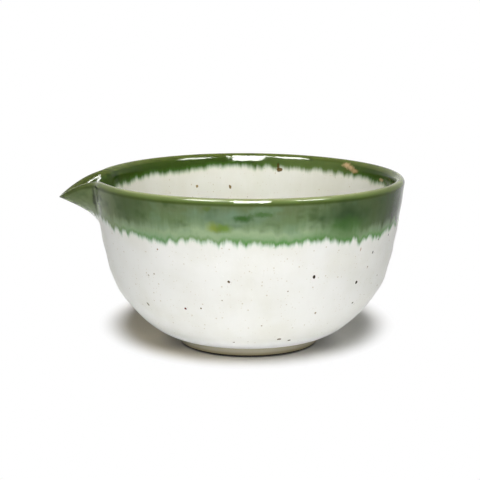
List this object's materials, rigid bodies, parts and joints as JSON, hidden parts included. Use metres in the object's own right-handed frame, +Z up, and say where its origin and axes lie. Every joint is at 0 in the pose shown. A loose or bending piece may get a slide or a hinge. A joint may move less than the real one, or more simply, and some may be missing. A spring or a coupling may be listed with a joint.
{
  "type": "tea bowl",
  "caption": "Wheel-thrown stoneware tea bowl with a drawn-out pouring spout, white speckled glaze and a green glazed rim, on a low turned foot ring.",
  "frame": {"origin": "on the table plane under the middle of the whole outline, so the bowl's own axis stands 7.1 mm towards +X from it", "axes": "+Z up through the open rim; the spout pours towards -X; +Y completes the right-handed frame"},
  "size_m": [0.1382, 0.124, 0.0683],
  "materials": {
    "stoneware": "matte",
    "white_glaze": "gloss",
    "green_glaze": "gloss"
  },
  "bodies": {
    "root": {"thrown_bowl": "stoneware", "pouring_spout": "stoneware", "foot_ring": "stoneware", "foot_glaze": "white_glaze", "white_glaze_outside": "white_glaze", "white_glaze_inside": "white_glaze", "green_glaze_band": "green_glaze"}
  },
  "joints": []
}
